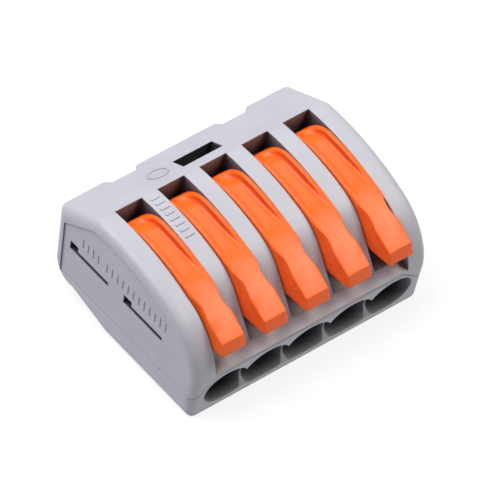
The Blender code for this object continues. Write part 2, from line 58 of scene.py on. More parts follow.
# Housing, from the frame's boxes and the CAD's driving sizes
upper_low, upper_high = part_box("upper_housing")
lower_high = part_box("lower_housing")[1]
HALF_WIDTH = upper_high.x
FRONT_Y = upper_low.y
REAR_Y = upper_high.y
MARK_HEIGHT = 0.1 * MM
TOP_Z = upper_high.z - MARK_HEIGHT
SLOT_WIDTH = 3.15 * MM
SLOT_SIDE = POLE_X[-1] + SLOT_WIDTH / 2
END_ROUNDING = 1.0 * MM
FIT_GAP = 0.09 * MM
OVERCUT = 1.0 * MM
WELD = 0.001 * MM
SHARP_ANGLE = math.radians(30.0)
CROWN_Y = 3.0 * MM
CROWN_RADIUS = 24.0 * MM
RIDGE_Y = 5.35 * MM
REAR_SLOPE = math.radians(27.0)
CROWN_STEPS = 24
SHOULDER_RADIUS = 7.0 * MM
FRONT_FOOT_Y = -10.2 * MM
FLAT_END_Y = 2.5 * MM
HEEL_RADIUS = 2.6 * MM
HEEL_SLOPE = math.radians(11.5)
NOSE_RADIUS = 5.5 * MM
NOSE_START = math.radians(16.5)
NOSE_END = math.radians(57.0)
LIP_Z = 5.7 * MM
LIP_DROP = 0.42 * MM
SEAM_Z = 2.5 * MM
MOUTH_BLOCK_Z = lower_high.z
MOUTH_BLOCK_REAR_Y = -5.5 * MM
SEAM_KINK_X = 11.0 * MM
FLOOR_Z = 0.8 * MM
FLOOR_END_Y = 4.6 * MM
SLOT_REAR_Y = 5.45 * MM
SLOT_FRONT_Y = -9.5 * MM
CHAMBER_REAR_Y = 9.3 * MM
CHAMBER_ROOF_Z = 8.3 * MM

# Wire entries
MOUTH_Z = 2.6 * MM
MOUTH_HALF_WIDTH = 2.78 * MM
MOUTH_END_HALF_WIDTH = 2.52 * MM
MOUTH_HALF_HEIGHT = 2.04 * MM
MOUTH_ROUND = 2.0
MOUTH_SQUARE = 4.5
FUNNEL_SIDES = 96
FUNNEL_STEPS = 16
FUNNEL_CURVE = 1.15
SADDLE_RADIUS = 1.5 * MM
SADDLE_Z = 2.05 * MM
SADDLE_DEPTH = 1.1 * MM
SADDLE_REACH = 0.9 * MM
SADDLE_SIDES = 64
BORE_Z = 2.8 * MM
BORE_RADIUS = 1.55 * MM
FUNNEL_DEPTH = 4.6 * MM

# Test slot, rear notches, end panels
TEST_SLOT_WIDTH = 4.7 * MM
TEST_SLOT_FRONT_Y = 6.75 * MM
TEST_SLOT_REAR_Y = 8.35 * MM
NOTCH_X = 6.6 * MM
NOTCH_WIDTH = 2.9 * MM
NOTCH_DEPTH = 0.7 * MM
NOTCH_LEAN = 0.7
PANEL_DEPTH = 0.15 * MM
PANEL_INSET = 1.15 * MM
PANEL_X = HALF_WIDTH - PANEL_DEPTH
PANEL_FADE_Z = 1.05 * MM
LATCH_HOLE = (1.2 * MM, 1.05 * MM)
LATCH_HOLE_YZ = ((8.6 * MM, 7.5 * MM), (0.45 * MM, 7.5 * MM))
LATCH_DEPTH = 1.9 * MM
GROOVE_LENGTH = 4.6 * MM
GROOVE_HEIGHT = 0.5 * MM
GROOVE_DEPTH = 0.45 * MM

# Raised marks
MARK_SINK = 0.05 * MM
END_MARK_Z = 8.7 * MM
END_MARK_ROWS = ((6.9 * MM, 4.6 * MM, 4), (3.3 * MM, -5.6 * MM, 12))
END_MARK_WIDTH = 0.3 * MM
END_MARK_LENGTH = 1.1 * MM
RIB_MARK_COUNT = 8
RIB_MARK_REAR_Y = 4.6 * MM
RIB_MARK_STEP = 0.75 * MM
RIB_MARK_LENGTH = 1.0 * MM
RIB_MARK_WIDTH = 0.25 * MM
RING_X = -4.6 * MM
RING_Y = 7.7 * MM
RING_WIDE = 1.0 * MM
RING_DEEP = 0.75 * MM
RING_LINE = 0.18 * MM
RING_STEPS = 48

# Levers
HINGE_Y, HINGE_Z = JOINTS["clamp_1_flex"]["pos_m"][1:]
LEVER_OPEN = math.radians(90.0)
CLAMP_RATIO = COUPLINGS[0]["ratio"]
STRIP = 0.4 * MM
CAM_GAP = 0.06 * MM
LEVER_HALF = 1.45 * MM
DISC_RADIUS = 3.8 * MM
CREST_RADIUS = 22.0 * MM
WAIST_Y = -6.9 * MM
GRIP_TOP = (-10.9 * MM, 9.5 * MM)
GRIP_TIP = (-11.25 * MM, 8.2 * MM)
GRIP_BELLY = (-8.6 * MM, 7.75 * MM)
GRIP_HEEL = (-6.6 * MM, 7.7 * MM)
LEVER_BELLY = (-0.8 * MM, 8.0 * MM)
LEVER_EDGE = 0.1 * MM
LEVER_EDGE_STEPS = 2
TRUNNION_RADIUS = 0.8 * MM
TRUNNION_REACH = 0.6 * MM
NIP_REAR_Y = -5.6 * MM
NIP_Y = -7.3 * MM
NIP_HALF = 1.12 * MM
SWELL_Y = -9.0 * MM
GRIP_HALF = 1.38 * MM
GRIP_TAPER = 0.3
GRIP_SIDE_HEIGHT = 1.3 * MM
GRIP_ARCH = 0.35 * MM
TROUGH_HALF = 1.0 * MM
TROUGH_DEPTH = 0.62 * MM
TROUGH_REAR_Y = 4.5 * MM
TROUGH_FRONT_Y = -4.6 * MM
TROUGH_TAIL = 1.4 * MM
TROUGH_RUN_OUT = 4.4 * MM
TROUGH_ROUND = 1.1 * MM
TROUGH_CLEAR = 0.01 * MM
TROUGH_STEEPNESS = 8
TROUGH_ROWS = 44
TROUGH_COLUMNS = 28
BELLY_STEPS = 10
CAM_STEPS = 24
SIDE_STEPS = 32

# Noise: the middle range that colours are blended over, and the one that roughness is stretched over
BLEND_LOW = 0.35
BLEND_HIGH = 0.65
NOISE_LOW = 0.3
NOISE_HIGH = 0.7

# Plastic: the shares of open sky around a point at which the painted shade of a recess begins, and is at its
# darkest
OPEN_SHARE = 0.82
DEEP_SHARE = 0.38
PAINTED_SHADE_REACH = 6.5 * MM
PAINTED_SHADE_SAMPLES = 16
EDGE_START = 0.995
EDGE_FULL = 0.90
EDGE_LIGHTENING = 0.35
EDGE_SAMPLES = 6
MOTTLE_SIZE = 3.5 * MM
PATCH_SIZE = 1.2 * MM
GRAIN_DETAIL = 2.0
GRAIN_DEPTH = 0.012 * MM
GRAIN_STRENGTH = 0.5
GREY_EDGE = 0.12 * MM
SOFT_GREY_EDGE = 0.26 * MM
GREY_GRAIN = 0.10 * MM
ORANGE_EDGE = 0.30 * MM
ORANGE_GRAIN = 0.16 * MM

# Sheet metal
CLOUD_SIZE = 1.5 * MM
LINE_SIZE = 0.08 * MM
LINE_DETAIL = 4.0
LINE_DEPTH = 0.004 * MM
LINE_STRENGTH = 0.4
METAL_EDGE = 0.05 * MM
ALONG_Y = (1.0, 0.06, 1.0)
ALONG_X = (0.06, 1.0, 1.0)

# Stage
FLOOR_HALF = 500 * MM
FLOOR_THICKNESS = 2 * MM
FLOOR_CLOUD_SIZE = 40 * MM
FLOOR_PATCH_SIZE = 4 * MM
FLOOR_GRAIN = 0.8 * MM
FLOOR_GRAIN_DEPTH = 0.02 * MM
FLOOR_GRAIN_STRENGTH = 0.2
FLOOR_GLOW = 0.80
FLOOR_DARK = (0.15, 0.15, 0.155)
FLOOR_LIGHT = (0.165, 0.165, 0.17)
FLOOR_ROUGHNESS = (0.85, 0.95)
WHITE = (1.0, 1.0, 1.0)
AMBIENT = 0.12
LIGHT_DISTANCE = 400 * MM
LIGHTS = {
    "key": {"toward": (-0.36, 0.36, 0.86), "size": 350 * MM, "power": 2.35, "colour": WHITE},
    "sheen": {"toward": (0.48, -0.28, 0.83), "size": 200 * MM, "power": 1.15, "colour": (1.0, 0.92, 0.80)},
    "back": {"toward": (0.46, 0.48, 0.75), "size": 220 * MM, "power": 0.35, "colour": (0.94, 0.97, 1.0)},
}


def move_to_stage(item):
    bpy.context.scene.collection.objects.link(item)
    return item


def mesh_from_bmesh(name, shape):
    mesh = bpy.data.meshes.new(name)
    shape.normal_update()
    bmesh.ops.recalc_face_normals(shape, faces=shape.faces)
    shape.to_mesh(mesh)
    shape.free()
    return mesh


def join_rings(shape, rings):
    """Skin closed rings of equal length one after another, and cap both ends."""
    count = len(rings[0])
    for first, second in zip(rings, rings[1:]):
        for corner in range(count):
            after = (corner + 1) % count
            shape.faces.new((first[corner], first[after], second[after], second[corner]))
    shape.faces.new(rings[0])
    shape.faces.new(rings[-1])


def box_mesh(name, low, high):
    low = Vector(low)
    high = Vector(high)
    shape = bmesh.new()
    place = Matrix.Translation((low + high) / 2) @ Matrix.Diagonal((*(high - low), 1.0))
    bmesh.ops.create_cube(shape, size=1.0, matrix=place)
    return mesh_from_bmesh(name, shape)


def plate_mesh(name, outline, x_low, x_high, rounding=0.0, steps=6):
    """A flat (y, z) outline extruded along X, with its two rims rounded."""
    curve = bpy.data.curves.new(name, "CURVE")
    curve.dimensions = "2D"
    curve.fill_mode = "BOTH"
    curve.extrude = (x_high - x_low) / 2 - rounding
    curve.bevel_depth = rounding
    curve.bevel_resolution = steps
    curve.offset = -rounding
    spline = curve.splines.new("POLY")
    spline.points.add(len(outline) - 1)
    for point, (y, z) in zip(spline.points, outline):
        point.co = (y, z, 0.0, 1.0)
    spline.use_cyclic_u = True
    guide = move_to_stage(bpy.data.objects.new(name + "_outline", curve))
    bpy.context.view_layer.update()
    flat = bpy.data.meshes.new_from_object(guide.evaluated_get(bpy.context.evaluated_depsgraph_get()))
    bpy.data.objects.remove(guide, do_unlink=True)
    bpy.data.curves.remove(curve)
    shape = bmesh.new()
    shape.from_mesh(flat)
    bpy.data.meshes.remove(flat)
    bmesh.ops.remove_doubles(shape, verts=shape.verts, dist=WELD)
    stand_up = Matrix(((0, 0, 1, (x_low + x_high) / 2), (1, 0, 0, 0), (0, 1, 0, 0), (0, 0, 0, 1)))
    bmesh.ops.transform(shape, matrix=stand_up, verts=shape.verts)
    return mesh_from_bmesh(name, shape)


def arc(y, z, radius, start, end, steps=12):
    """Points on an arc; the angle is the slope of the surface, 0 facing up, 90 degrees facing the front."""
    angles = [start + (end - start) * step / steps for step in range(steps + 1)]
    return [(y - radius * math.sin(angle), z + radius * math.cos(angle)) for angle in angles]


def nested_centre(angle, radius):
    """Centre of a smaller arc that leaves the top arc smoothly at a given slope."""
    reach = CROWN_RADIUS - radius
    return CROWN_Y - reach * math.sin(angle), TOP_Z - CROWN_RADIUS + reach * math.cos(angle)


def crown_point(y):
    return TOP_Z - CROWN_RADIUS + math.sqrt(CROWN_RADIUS ** 2 - (y - CROWN_Y) ** 2)


def housing_outline(inset=0.0, bottom=0.0):
    """The closed (y, z) outline of the housing, or one set in from it, above a given height."""
    shoulder_start = math.asin((CROWN_Y - FRONT_Y - SHOULDER_RADIUS) / (CROWN_RADIUS - SHOULDER_RADIUS))
    shoulder_y, shoulder_z = nested_centre(shoulder_start, SHOULDER_RADIUS)
    ridge_slope = -math.asin((RIDGE_Y - CROWN_Y) / CROWN_RADIUS)
    crown_z = TOP_Z - CROWN_RADIUS
    points = arc(CROWN_Y, crown_z, CROWN_RADIUS - inset, ridge_slope, shoulder_start, CROWN_STEPS)
    shoulder = arc(shoulder_y, shoulder_z, SHOULDER_RADIUS - inset, shoulder_start, math.pi / 2, CROWN_STEPS)
    points += shoulder[1:]
    if bottom:
        points += [(FRONT_Y + inset, bottom), (REAR_Y - inset, bottom)]
    else:
        points += [(FRONT_FOOT_Y, 0.0), (FLAT_END_Y, 0.0)]
        heel_y = REAR_Y - HEEL_RADIUS
        heel_z = (heel_y - FLAT_END_Y) * math.tan(HEEL_SLOPE) + HEEL_RADIUS / math.cos(HEEL_SLOPE)
        points += arc(heel_y, heel_z, HEEL_RADIUS, math.pi - HEEL_SLOPE, math.pi * 1.5)
    rear_z = crown_point(RIDGE_Y) - (REAR_Y - RIDGE_Y) * math.tan(REAR_SLOPE) - inset
    return points + [(REAR_Y - inset, rear_z)]


class Carving:
    """A mesh that is cut and joined by other meshes, then kept as one plain mesh."""

    def __init__(self, name, mesh):
        self.item = move_to_stage(bpy.data.objects.new(name, mesh))
        self.tools = []

    def apply(self, mesh, operation="DIFFERENCE", row=False):
        tool = move_to_stage(bpy.data.objects.new(mesh.name, mesh))
        if row:
            array = tool.modifiers.new("row", "ARRAY")
            array.count = POLES
            array.use_relative_offset = False
            array.use_constant_offset = True
            array.constant_offset_displace = (PITCH, 0.0, 0.0)
        self.tools.append(tool)
        modifier = self.item.modifiers.new(mesh.name, "BOOLEAN")
        modifier.operation = operation
        modifier.solver = "EXACT"
        modifier.object = tool

    def finish(self):
        """Keep the carved mesh and drop the tools."""
        bpy.context.view_layer.update()
        carved = self.item.evaluated_get(bpy.context.evaluated_depsgraph_get())
        mesh = bpy.data.meshes.new_from_object(carved)
        self.item.modifiers.clear()
        self.item.data = mesh
        for tool in self.tools:
            bpy.data.objects.remove(tool, do_unlink=True)
        return self.item


def base_zone(name, clearance):
    """The space that belongs to the lower housing: skirt and mouth block."""
    wide = HALF_WIDTH + OVERCUT
    front = FRONT_Y - OVERCUT
    skirt = box_mesh(name, (-wide, front, -OVERCUT), (wide, REAR_Y + OVERCUT, SEAM_Z + clearance))
    zone = Carving(name, skirt)
    slant = (MOUTH_BLOCK_Z - SEAM_Z) / (HALF_WIDTH - SEAM_KINK_X)
    top = MOUTH_BLOCK_Z + clearance
    low = SEAM_Z - OVERCUT
    reach = SEAM_KINK_X + (top - low) / slant
    front_outline = [(-SEAM_KINK_X, top), (-reach, low), (reach, low), (SEAM_KINK_X, top)]
    mesh = plate_mesh(name + "_mouths", front_outline, front, MOUTH_BLOCK_REAR_Y + clearance)
    mesh.transform(Matrix(((0, 1, 0, 0), (1, 0, 0, 0), (0, 0, 1, 0), (0, 0, 0, 1))))
    mesh.flip_normals()
    zone.apply(mesh, "UNION")
    item = zone.finish()
    mesh = item.data
    bpy.data.objects.remove(item, do_unlink=True)
    return mesh


def chamber_mesh():
    low = SEAM_Z - OVERCUT
    high = TOP_Z + OVERCUT
    half = SLOT_WIDTH / 2
    outline = [(MOUTH_BLOCK_REAR_Y, low), (CHAMBER_REAR_Y, low), (CHAMBER_REAR_Y, CHAMBER_ROOF_Z),
               (SLOT_REAR_Y, CHAMBER_ROOF_Z), (SLOT_REAR_Y, high), (SLOT_FRONT_Y, high),
               (SLOT_FRONT_Y, MOUTH_BLOCK_Z - FIT_GAP), (MOUTH_BLOCK_REAR_Y, MOUTH_BLOCK_Z - FIT_GAP)]
    return plate_mesh("chamber", outline, POLE_X[0] - half, POLE_X[0] + half)


def nose_outline():
    """Everything above the ribs' front slope and above the lip."""
    centre_y, centre_z = nested_centre(NOSE_START, NOSE_RADIUS)
    slope = arc(centre_y, centre_z, NOSE_RADIUS, NOSE_START, NOSE_END)
    last_y, last_z = slope[-1]
    lip_y = last_y - (last_z - LIP_Z) / math.tan(NOSE_END)
    start_y, start_z = slope[0]
    above = TOP_Z + OVERCUT
    front = FRONT_Y - OVERCUT
    return [(start_y, above), (start_y, start_z)] + slope[1:] + [
        (lip_y, LIP_Z), (FRONT_Y, LIP_Z - LIP_DROP), (front, LIP_Z - LIP_DROP), (front, above)]


def notch_mesh(side):
    lean = NOTCH_DEPTH * NOTCH_LEAN
    half = NOTCH_WIDTH / 2
    centre = side * NOTCH_X
    low = REAR_Y - NOTCH_DEPTH
    high = REAR_Y + OVERCUT
    wide = half + lean * (1 + OVERCUT / NOTCH_DEPTH)
    outline = [(centre - half, low), (centre + half, low), (centre + wide, high), (centre - wide, high)]
    mesh = plate_mesh("notch", outline, SEAM_Z + OVERCUT, TOP_Z)
    mesh.transform(Matrix(((0, 1, 0, 0), (0, 0, 1, 0), (1, 0, 0, 0), (0, 0, 0, 1))))
    return mesh


def end_range(side, depth):
    """The X range of a cut that goes some depth into one end face."""
    return sorted((side * (HALF_WIDTH - depth), side * (HALF_WIDTH + OVERCUT)))


def panel_mesh(side):
    outline = housing_outline(PANEL_INSET, SEAM_Z - OVERCUT)
    return plate_mesh("panel", outline, *end_range(side, PANEL_DEPTH))


def lower_panel_mesh(side):
    """The end panel carried on into the lower housing, where it fades out above the foot."""
    shape = bmesh.new()
    outer_x = HALF_WIDTH + OVERCUT
    top = MOUTH_BLOCK_Z + OVERCUT
    corners = [(PANEL_X, top), (PANEL_X, SEAM_Z - FIT_GAP), (HALF_WIDTH + FIT_GAP, PANEL_FADE_Z),
               (outer_x, PANEL_FADE_Z), (outer_x, top)]
    ends = (FRONT_Y + PANEL_INSET, REAR_Y - PANEL_INSET)
    rings = [[shape.verts.new((side * x, y, z)) for x, z in corners] for y in ends]
    join_rings(shape, rings)
    return mesh_from_bmesh("lower_panel", shape)


def end_cutters(side):
    """The sunk panel of an end face, its two latch holes and the grooves in front of them."""
    meshes = [panel_mesh(side)]
    length, height = LATCH_HOLE
    for rear, top in LATCH_HOLE_YZ:
        x_low, x_high = end_range(side, LATCH_DEPTH)
        meshes.append(box_mesh("hole", (x_low, rear - length, top - height), (x_high, rear, top)))
        x_low, x_high = end_range(side, GROOVE_DEPTH)
        low = (x_low, rear - length - GROOVE_LENGTH, top - height)
        high = (x_high, rear - length / 2, top - height + GROOVE_HEIGHT)
        meshes.append(box_mesh("groove", low, high))
    return meshes


def squared(value, power):
    """A cosine or sine pushed outwards, so that an ellipse turns into a rounder rectangle."""
    return math.copysign(abs(value) ** (2 / power), value)


def mouth_point(index, angle, depth):
    """A point of one wire entry; beside a neighbour the mouth is wider, and squarer at its foot."""
    across = math.cos(angle)
    up = math.sin(angle)
    outer_side = (index == 0 and across < 0) or (index == POLES - 1 and across > 0)
    share = min(max(depth / FUNNEL_DEPTH, 0.0), 1.0)
    rest = (1 - share) ** FUNNEL_CURVE
    power = MOUTH_ROUND if up > 0 or outer_side else MOUTH_SQUARE
    wide = MOUTH_END_HALF_WIDTH if outer_side else MOUTH_HALF_WIDTH
    x = wide * squared(across, power) * rest + BORE_RADIUS * across * (1 - rest)
    z = MOUTH_HALF_HEIGHT * squared(up, power) * rest + BORE_RADIUS * up * (1 - rest)
    return POLE_X[index] + x, FRONT_Y + depth, MOUTH_Z * rest + BORE_Z * (1 - rest) + z


def funnel_mesh(index):
    """One wire entry: a wide oval mouth that narrows to the round bore."""
    shape = bmesh.new()
    depths = [-OVERCUT] + [FUNNEL_DEPTH * step / FUNNEL_STEPS for step in range(FUNNEL_STEPS + 1)]
    depths.append(MOUTH_BLOCK_REAR_Y - FRONT_Y + OVERCUT)
    angles = [2 * math.pi * (side + 0.5) / FUNNEL_SIDES for side in range(FUNNEL_SIDES)]
    rings = [[shape.verts.new(mouth_point(index, angle, depth)) for angle in angles] for depth in depths]
    join_rings(shape, rings)
    return mesh_from_bmesh("funnel", shape)


def smooth(item):
    item.data.shade_smooth()
    item.data.set_sharp_from_angle(angle=SHARP_ANGLE)


def make_upper_shell():
    body = plate_mesh("upper_shell", housing_outline(), -HALF_WIDTH, HALF_WIDTH, END_ROUNDING)
    shell = Carving("upper_shell", body)
    shell.apply(base_zone("upper_limit", FIT_GAP))
    shell.apply(chamber_mesh(), row=True)
    shell.apply(plate_mesh("scoop", nose_outline(), -SLOT_SIDE, SLOT_SIDE))
    half = TEST_SLOT_WIDTH / 2
    shell.apply(box_mesh("test_slot", (-half, TEST_SLOT_FRONT_Y, CHAMBER_ROOF_Z - OVERCUT),
                         (half, TEST_SLOT_REAR_Y, TOP_Z)))
    reach = LEVER_HALF + TRUNNION_REACH + FIT_GAP
    bearing = cylinder_mesh("bearings", TRUNNION_RADIUS + FIT_GAP, POLE_X[0] - reach, POLE_X[0] + reach,
                            PIVOT_Y, PIVOT_Z)
    shell.apply(bearing, row=True)
    for side in (-1, 1):
        shell.apply(notch_mesh(side))
        for mesh in end_cutters(side):
            shell.apply(mesh)
    return shell.finish()


def make_lower_shell():
    body = plate_mesh("lower_shell", housing_outline(), -HALF_WIDTH, HALF_WIDTH, END_ROUNDING)
    shell = Carving("lower_shell", body)
    shell.apply(base_zone("lower_limit", 0.0), "INTERSECT")
    half = SLOT_WIDTH / 2
    shell.apply(box_mesh("floor_room", (POLE_X[0] - half, MOUTH_BLOCK_REAR_Y, FLOOR_Z),
                         (POLE_X[0] + half, FLOOR_END_Y, TOP_Z)), row=True)
    for index in range(POLES):
        shell.apply(funnel_mesh(index))
    reach = POLE_X[-1] - PITCH / 2 + SADDLE_REACH
    saddle_y = FRONT_Y + SADDLE_DEPTH - SADDLE_RADIUS
    shell.apply(cylinder_mesh("saddles", SADDLE_RADIUS, -reach, reach, saddle_y, SADDLE_Z, SADDLE_SIDES))
    for side in (-1, 1):
        shell.apply(lower_panel_mesh(side))
    return shell.finish()


def bar_mesh(centre, along, across, up, size):
    """A small raised block with its length, width and height along three given directions."""
    shape = bmesh.new()
    turn = Matrix((along, across, up)).transposed().to_4x4()
    place = Matrix.Translation(centre) @ turn @ Matrix.Diagonal((*size, 1.0))
    bmesh.ops.create_cube(shape, size=1.0, matrix=place)
    return mesh_from_bmesh("bar", shape)


def join_meshes(name, meshes):
    shape = bmesh.new()
    for mesh in meshes:
        shape.from_mesh(mesh)
        bpy.data.meshes.remove(mesh)
    return mesh_from_bmesh(name, shape)


def end_mark_mesh(side):
    """Plain raised ticks on an end panel, in a short and a long group above the grooves."""
    along = Vector((0.0, 1.0, 0.0))
    upright = Vector((0.0, 0.0, 1.0))
    outward = Vector((side, 0.0, 0.0))
    bars = []
    x = side * (PANEL_X + MARK_HEIGHT / 2 - MARK_SINK)
    size = (END_MARK_WIDTH, END_MARK_LENGTH, MARK_HEIGHT + MARK_SINK)
    for first_y, last_y, count in END_MARK_ROWS:
        for step in range(count):
            y = first_y + (last_y - first_y) * step / (count - 1)
            bars.append(bar_mesh(Vector((x, y, END_MARK_Z)), along, upright, outward, size))
    return join_meshes("end_marks", bars)


def rib_mark_mesh():
    """A row of plain raised bars across the top of the first rib."""
    bars = []
    x = (POLE_X[0] + POLE_X[1]) / 2
    size = (RIB_MARK_LENGTH, RIB_MARK_WIDTH, MARK_HEIGHT + MARK_SINK)
    for step in range(RIB_MARK_COUNT):
        y = RIB_MARK_REAR_Y - RIB_MARK_STEP * step
        up = Vector((0.0, y - CROWN_Y, crown_point(y) - TOP_Z + CROWN_RADIUS)).normalized()
        across = Vector((1.0, 0.0, 0.0))
        along = up.cross(across)
        centre = Vector((x, y, crown_point(y))) + up * (MARK_HEIGHT / 2 - MARK_SINK)
        bars.append(bar_mesh(centre, across, along, up, size))
    return join_meshes("rib_marks", bars)


def ring_mark_mesh():
    """A plain raised oval ring on the rear slope beside the test slot."""
    shape = bmesh.new()
    middle = crown_point(RIDGE_Y) - (RING_Y - RIDGE_Y) * math.tan(REAR_SLOPE)
    slope_along = Vector((0.0, math.cos(REAR_SLOPE), -math.sin(REAR_SLOPE)))
    slope_up = Vector((0.0, math.sin(REAR_SLOPE), math.cos(REAR_SLOPE)))
    centre = Vector((RING_X, RING_Y, middle))
    section = ((0.0, -MARK_SINK), (0.0, MARK_HEIGHT), (RING_LINE, MARK_HEIGHT), (RING_LINE, -MARK_SINK))
    rings = []
    for step in range(RING_STEPS):
        angle = 2 * math.pi * step / RING_STEPS
        ring = []
        for reach, height in section:
            across = Vector(((RING_WIDE + reach) * math.cos(angle), 0.0, 0.0))
            along = slope_along * (RING_DEEP + reach) * math.sin(angle)
            ring.append(shape.verts.new(centre + across + along + slope_up * height))
        rings.append(ring)
    corners = len(section)
    for first, second in zip(rings, rings[1:] + rings[:1]):
        for corner in range(corners):
            after = (corner + 1) % corners
            shape.faces.new((first[corner], first[after], second[after], second[corner]))
    return mesh_from_bmesh("ring_mark", shape)


def make_marks(material):
    """Generic raised marks in place of the real part's moulded text."""
    meshes = {"end_marks_left": end_mark_mesh(-1), "end_marks_right": end_mark_mesh(1),
              "rib_marks": rib_mark_mesh(), "ring_mark": ring_mark_mesh()}
    for name, mesh in meshes.items():
        mesh.materials.append(material)
        mark = move_to_stage(bpy.data.objects.new(name, mesh))
        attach(mark, "housing")


def cam_point(angle):
    """A point of the cam, from the straight line that the clamp's top leg makes."""
    turn = angle * CLAMP_RATIO / (1 + CLAMP_RATIO)
    arm_y = HINGE_Y - PIVOT_Y
    arm_z = PIVOT_Z - HINGE_Z
    distance = arm_y * math.sin(turn) + arm_z * math.cos(turn) - STRIP / 2 - CAM_GAP
    growth = (arm_y * math.cos(turn) - arm_z * math.sin(turn)) * CLAMP_RATIO / (1 + CLAMP_RATIO)
    y = PIVOT_Y + distance * math.sin(angle) + growth * math.cos(angle)
    z = PIVOT_Z - distance * math.cos(angle) + growth * math.sin(angle)
    return y, z


def lever_crest(y):
    """Height of the long arc that runs from over the pivot to the waist."""
    return PIVOT_Z + DISC_RADIUS - CREST_RADIUS + math.sqrt(CREST_RADIUS ** 2 - (PIVOT_Y - y) ** 2)


def lever_top(y):
    """Height of the closed lever's top: round over the pivot, a long arc, then the grip."""
    if y > PIVOT_Y:
        return PIVOT_Z + math.sqrt(DISC_RADIUS ** 2 - (y - PIVOT_Y) ** 2)
    if y > WAIST_Y:
        return lever_crest(y)
    grip_y, grip_z = GRIP_TOP
    waist_z = lever_crest(WAIST_Y)
    share = (WAIST_Y - y) / (WAIST_Y - grip_y)
    return waist_z + (grip_z - waist_z) * share + GRIP_ARCH * share * (1 - share)


def belly_curve():
    """The rounded underside of the grip, a quadratic curve from its tip to its heel."""
    points = []
    for step in range(1, BELLY_STEPS + 1):
        share = step / BELLY_STEPS
        points.append(tuple((1 - share) ** 2 * tip + 2 * share * (1 - share) * belly + share ** 2 * heel
                            for tip, belly, heel in zip(GRIP_TIP, GRIP_BELLY, GRIP_HEEL)))
    return points


def lever_outline():
    """The closed (y, z) outline of a closed lever."""
    full_turn = LEVER_OPEN * (1 + CLAMP_RATIO)
    cam = [cam_point(full_turn * step / CAM_STEPS) for step in range(CAM_STEPS + 1)]
    last_y, last_z = cam[-1]
    start = math.atan2(last_y - PIVOT_Y, last_z - PIVOT_Z)
    disc = arc(PIVOT_Y, PIVOT_Z, DISC_RADIUS, -start, 0.0, CAM_STEPS)[1:]
    waist = math.asin((PIVOT_Y - WAIST_Y) / CREST_RADIUS)
    crest = arc(PIVOT_Y, PIVOT_Z + DISC_RADIUS - CREST_RADIUS, CREST_RADIUS, 0.0, waist, CAM_STEPS)[1:-1]
    grip_ys = [WAIST_Y + (GRIP_TOP[0] - WAIST_Y) * step / BELLY_STEPS for step in range(BELLY_STEPS + 1)]
    grip = [(y, lever_top(y)) for y in grip_ys]
    return cam + disc + crest + grip + [GRIP_TIP] + belly_curve() + [LEVER_BELLY]


def between(value, first, last):
    """A smooth step from 0 to 1 while a value goes from first to last."""
    share = min(max((value - first) / (last - first), 0.0), 1.0)
    return share * share * (3 - 2 * share)


def grip_half_width(y):
    """Half-width of the lever's top: full, nipped at the waist, a little wider along the grip."""
    nip = between(y, NIP_REAR_Y, NIP_Y)
    swell = between(y, NIP_Y, SWELL_Y) - GRIP_TAPER * between(y, SWELL_Y, GRIP_TIP[0])
    return LEVER_HALF + (NIP_HALF - LEVER_HALF) * nip + (GRIP_HALF - NIP_HALF) * swell


def grip_side_mesh(side):
    """What is pared from one side of the lever's front, so that its sides lean outwards going down."""
    shape = bmesh.new()
    rings = []
    start_y = NIP_REAR_Y + FIT_GAP
    end_y = GRIP_TIP[0] - OVERCUT
    for step in range(SIDE_STEPS + 1):
        y = start_y + (end_y - start_y) * step / SIDE_STEPS
        top = lever_top(max(y, GRIP_TIP[0]))
        height = GRIP_SIDE_HEIGHT * between(y, NIP_REAR_Y, NIP_Y) + FIT_GAP
        bottom = top - height - FIT_GAP
        narrow = LEVER_HALF - grip_half_width(y)
        lean = narrow / height
        corners = [(LEVER_HALF - narrow - OVERCUT * lean, top + OVERCUT),
                   (LEVER_HALF + FIT_GAP * lean, bottom),
                   (PITCH / 2, bottom), (PITCH / 2, top + OVERCUT)]
        rings.append([shape.verts.new((side * x, y, z)) for x, z in corners])
    join_rings(shape, rings)
    return mesh_from_bmesh("grip_side", shape)


def trough_depth(x, y):
    """Depth of the hollow in the lever's top, running out in two tails at its front."""
    share = abs(x) / TROUGH_HALF
    across = 1 - share ** TROUGH_STEEPNESS
    end_y = TROUGH_FRONT_Y - TROUGH_TAIL * share ** 2
    front = between(y, end_y, end_y + TROUGH_RUN_OUT)
    reach = TROUGH_REAR_Y - TROUGH_ROUND * share ** 2
    rear = between(y, reach, reach - TROUGH_ROUND)
    return TROUGH_DEPTH * across * front * rear


def trough_mesh():
    """The hollow as a cutter: its underside follows the lever's top less the depth."""
    shape = bmesh.new()
    floor = []
    roof = []
    front_y = TROUGH_FRONT_Y - TROUGH_TAIL
    turns = [math.pi * (step / TROUGH_COLUMNS - 0.5) for step in range(TROUGH_COLUMNS + 1)]
    across = [TROUGH_HALF * math.sin(turn) for turn in turns]
    for row in range(TROUGH_ROWS + 1):
        y = TROUGH_REAR_Y + (front_y - TROUGH_REAR_Y) * row / TROUGH_ROWS
        top = lever_top(y)
        floor.append([shape.verts.new((x, y, top + TROUGH_CLEAR - trough_depth(x, y))) for x in across])
        roof.append([shape.verts.new((x, y, top + OVERCUT)) for x in across])
    sheets = [floor, roof, [floor[0], roof[0]], [floor[-1], roof[-1]]]
    sheets += [[[line[column] for line in sheet] for sheet in (floor, roof)] for column in (0, -1)]
    for sheet in sheets:
        for first, second in zip(sheet, sheet[1:]):
            for one, next_one, other, next_other in zip(first, first[1:], second, second[1:]):
                shape.faces.new((one, next_one, next_other, other))
    return mesh_from_bmesh("trough", shape)


